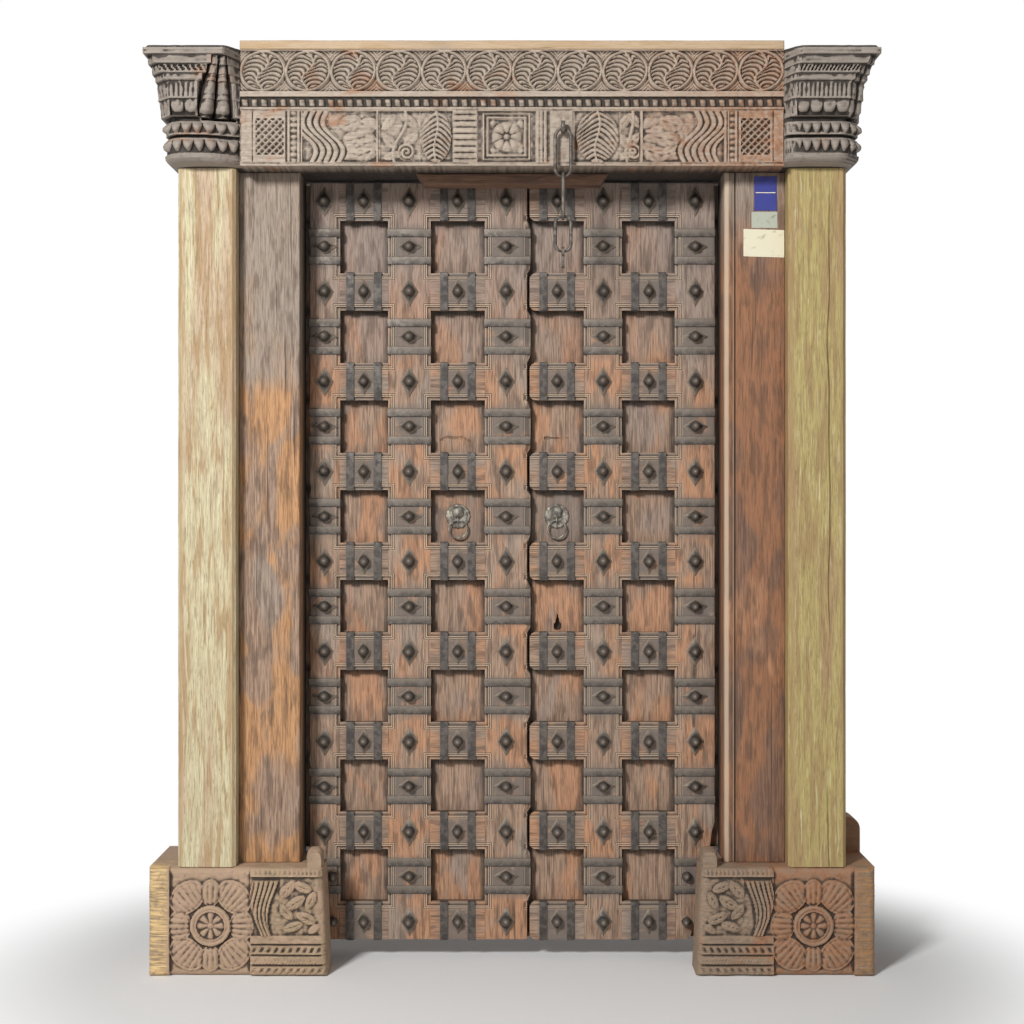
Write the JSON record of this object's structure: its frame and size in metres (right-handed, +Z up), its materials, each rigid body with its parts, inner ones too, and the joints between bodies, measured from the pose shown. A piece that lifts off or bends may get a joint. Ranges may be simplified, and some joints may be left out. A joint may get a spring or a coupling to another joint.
{
  "type": "spiked fortress gate",
  "caption": "Carved timber gate frame with pivoting lattice leaves, iron straps, spikes, ring pulls and a hanging latch chain.",
  "frame": {"origin": "middle of the gate on the floor it stands on", "axes": "+Z up, front of the gate towards -Y, +X to the right of a viewer in front"},
  "size_m": [1.784, 0.38, 2.29],
  "materials": {
    "carved_teak": "weathered carved teak",
    "jamb_teak": "weathered planed teak",
    "painted_timber": "flaking pale yellow paint on teak",
    "raw_board": "raw sawn board",
    "leaf_teak": "weathered red-brown teak",
    "plank_teak": "weathered sawn teak",
    "forged_iron": "dark forged iron"
  },
  "bodies": {
    "frame": {"plinth_left": "carved_teak", "plinth_right": "carved_teak", "jamb_left": "jamb_teak", "jamb_right": "jamb_teak", "pilaster_left": "painted_timber", "pilaster_right": "painted_timber", "capital_left": "carved_teak", "capital_right": "carved_teak", "head_beam": "carved_teak", "cornice_beam": "carved_teak", "cap_board": "raw_board", "door_stop_block": "jamb_teak", "pivot_rail": "plank_teak", "pivot_cups": "forged_iron", "chain_staple": "forged_iron"},
    "left_leaf": {"left_hinge_plank": "plank_teak", "left_meeting_plank": "plank_teak", "left_hinge_stile": "leaf_teak", "left_middle_stile": "leaf_teak", "left_meeting_stile": "leaf_teak", "left_rail_1": "leaf_teak", "left_rail_2": "leaf_teak", "left_rail_3": "leaf_teak", "left_rail_4": "leaf_teak", "left_rail_5": "leaf_teak", "left_rail_6": "leaf_teak", "left_rail_7": "leaf_teak", "left_rail_8": "leaf_teak", "left_rail_9": "leaf_teak", "left_ledges": "plank_teak", "left_straps": "forged_iron", "left_spikes": "forged_iron", "left_spike_plates": "forged_iron", "left_pull_rosette": "forged_iron"},
    "left_ring": {"left_pull_ring": "forged_iron"},
    "right_leaf": {"right_hinge_plank": "plank_teak", "right_meeting_plank": "plank_teak", "right_hinge_stile": "leaf_teak", "right_middle_stile": "leaf_teak", "right_rail_1": "leaf_teak", "right_rail_2": "leaf_teak", "right_rail_3": "leaf_teak", "right_rail_4": "leaf_teak", "right_rail_5": "leaf_teak", "right_rail_6": "leaf_teak", "right_rail_7": "leaf_teak", "right_rail_8": "leaf_teak", "right_rail_9": "leaf_teak", "right_ledges": "plank_teak", "right_straps": "forged_iron", "right_spikes": "forged_iron", "right_spike_plates": "forged_iron", "right_pull_rosette": "forged_iron"},
    "right_ring": {"right_pull_ring": "forged_iron"},
    "link_1": {"chain_link_1": "forged_iron"},
    "link_2": {"chain_link_2": "forged_iron"},
    "link_3": {"chain_link_3": "forged_iron"},
    "hasp": {"chain_hasp": "forged_iron"}
  },
  "joints": [
    {"name": "left_leaf_swing", "type": "hinge", "parent": "frame", "child": "left_leaf", "pos_m": [-0.545, 0.135, 1], "axis": [0, 0, 1], "range_deg": [0, 95]},
    {"name": "right_leaf_swing", "type": "hinge", "parent": "frame", "child": "right_leaf", "pos_m": [0.545, 0.135, 1], "axis": [0, 0, -1], "range_deg": [0, 95]},
    {"name": "left_ring_lift", "type": "hinge", "parent": "left_leaf", "child": "left_ring", "pos_m": [-0.13843, 0.102, 1.1175], "axis": [-1, 0, 0], "range_deg": [0, 95]},
    {"name": "right_ring_lift", "type": "hinge", "parent": "right_leaf", "child": "right_ring", "pos_m": [0.11444, 0.102, 1.1175], "axis": [-1, 0, 0], "range_deg": [0, 95]},
    {"name": "link_1_swing", "type": "hinge", "parent": "frame", "child": "link_1", "pos_m": [0.124, -0.1375, 2.07], "axis": [-1, 0, 0], "range_deg": [0, 70]},
    {"name": "link_2_swing", "type": "hinge", "parent": "link_1", "child": "link_2", "pos_m": [0.124, -0.1375, 1.955], "axis": [-1, 0, 0], "range_deg": [-20, 45]},
    {"name": "link_3_swing", "type": "hinge", "parent": "link_2", "child": "link_3", "pos_m": [0.124, -0.1375, 1.86], "axis": [-1, 0, 0], "range_deg": [-30, 45]},
    {"name": "hasp_swing", "type": "hinge", "parent": "link_3", "child": "hasp", "pos_m": [0.124, -0.1375, 1.773], "axis": [-1, 0, 0], "range_deg": [-40, 60]}
  ]
}
